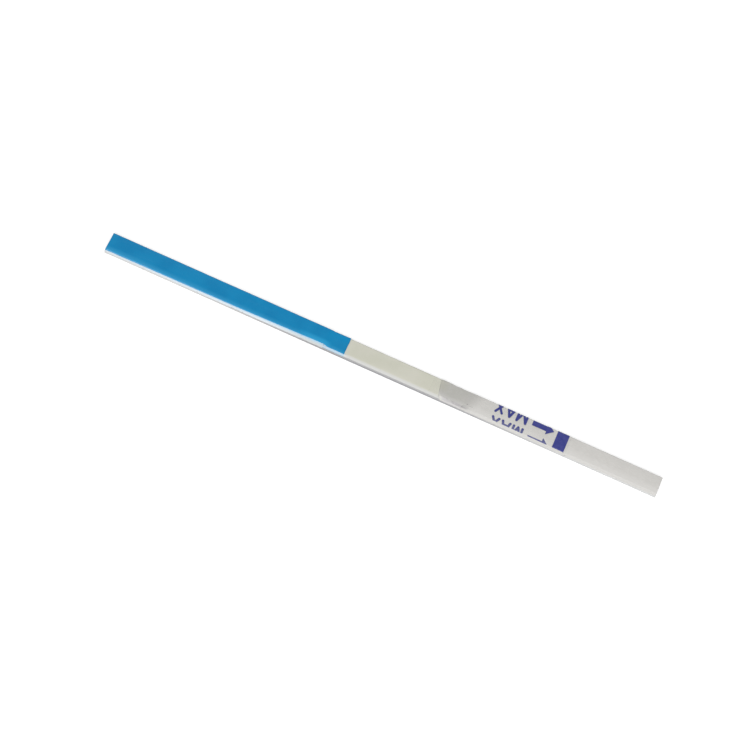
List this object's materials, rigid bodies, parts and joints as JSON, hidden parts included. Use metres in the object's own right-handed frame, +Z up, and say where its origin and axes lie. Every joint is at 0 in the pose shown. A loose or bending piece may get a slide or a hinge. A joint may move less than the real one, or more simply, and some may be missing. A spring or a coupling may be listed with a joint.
{
  "type": "lateral flow test strip",
  "caption": "Narrow laminated paper test strip lying face up: handle tape, membrane window and sample pad on a plastic card.",
  "frame": {"origin": "under the middle of the strip, on the surface it lies on", "axes": "+X along the strip from the handle end to the sample end, +Z up out of the laminated face, Y across the strip"},
  "size_m": [0.08, 0.003, 0.0009],
  "materials": {
    "card": "satin white",
    "membrane": "matte, finely porous, off-white",
    "absorbent": "matte pressed cellulose",
    "conjugate": "matte glass fibre, dyed grey",
    "sample": "matte cellulose paper",
    "handle_film": "satin blue film",
    "clear_film": "clear satin film with a printed mark"
  },
  "bodies": {
    "root": {"backing_card": "card", "nitrocellulose_membrane": "membrane", "absorbent_pad": "absorbent", "conjugate_pad": "conjugate", "sample_pad": "sample", "handle_tape": "handle_film", "limit_tape": "clear_film"}
  },
  "joints": []
}
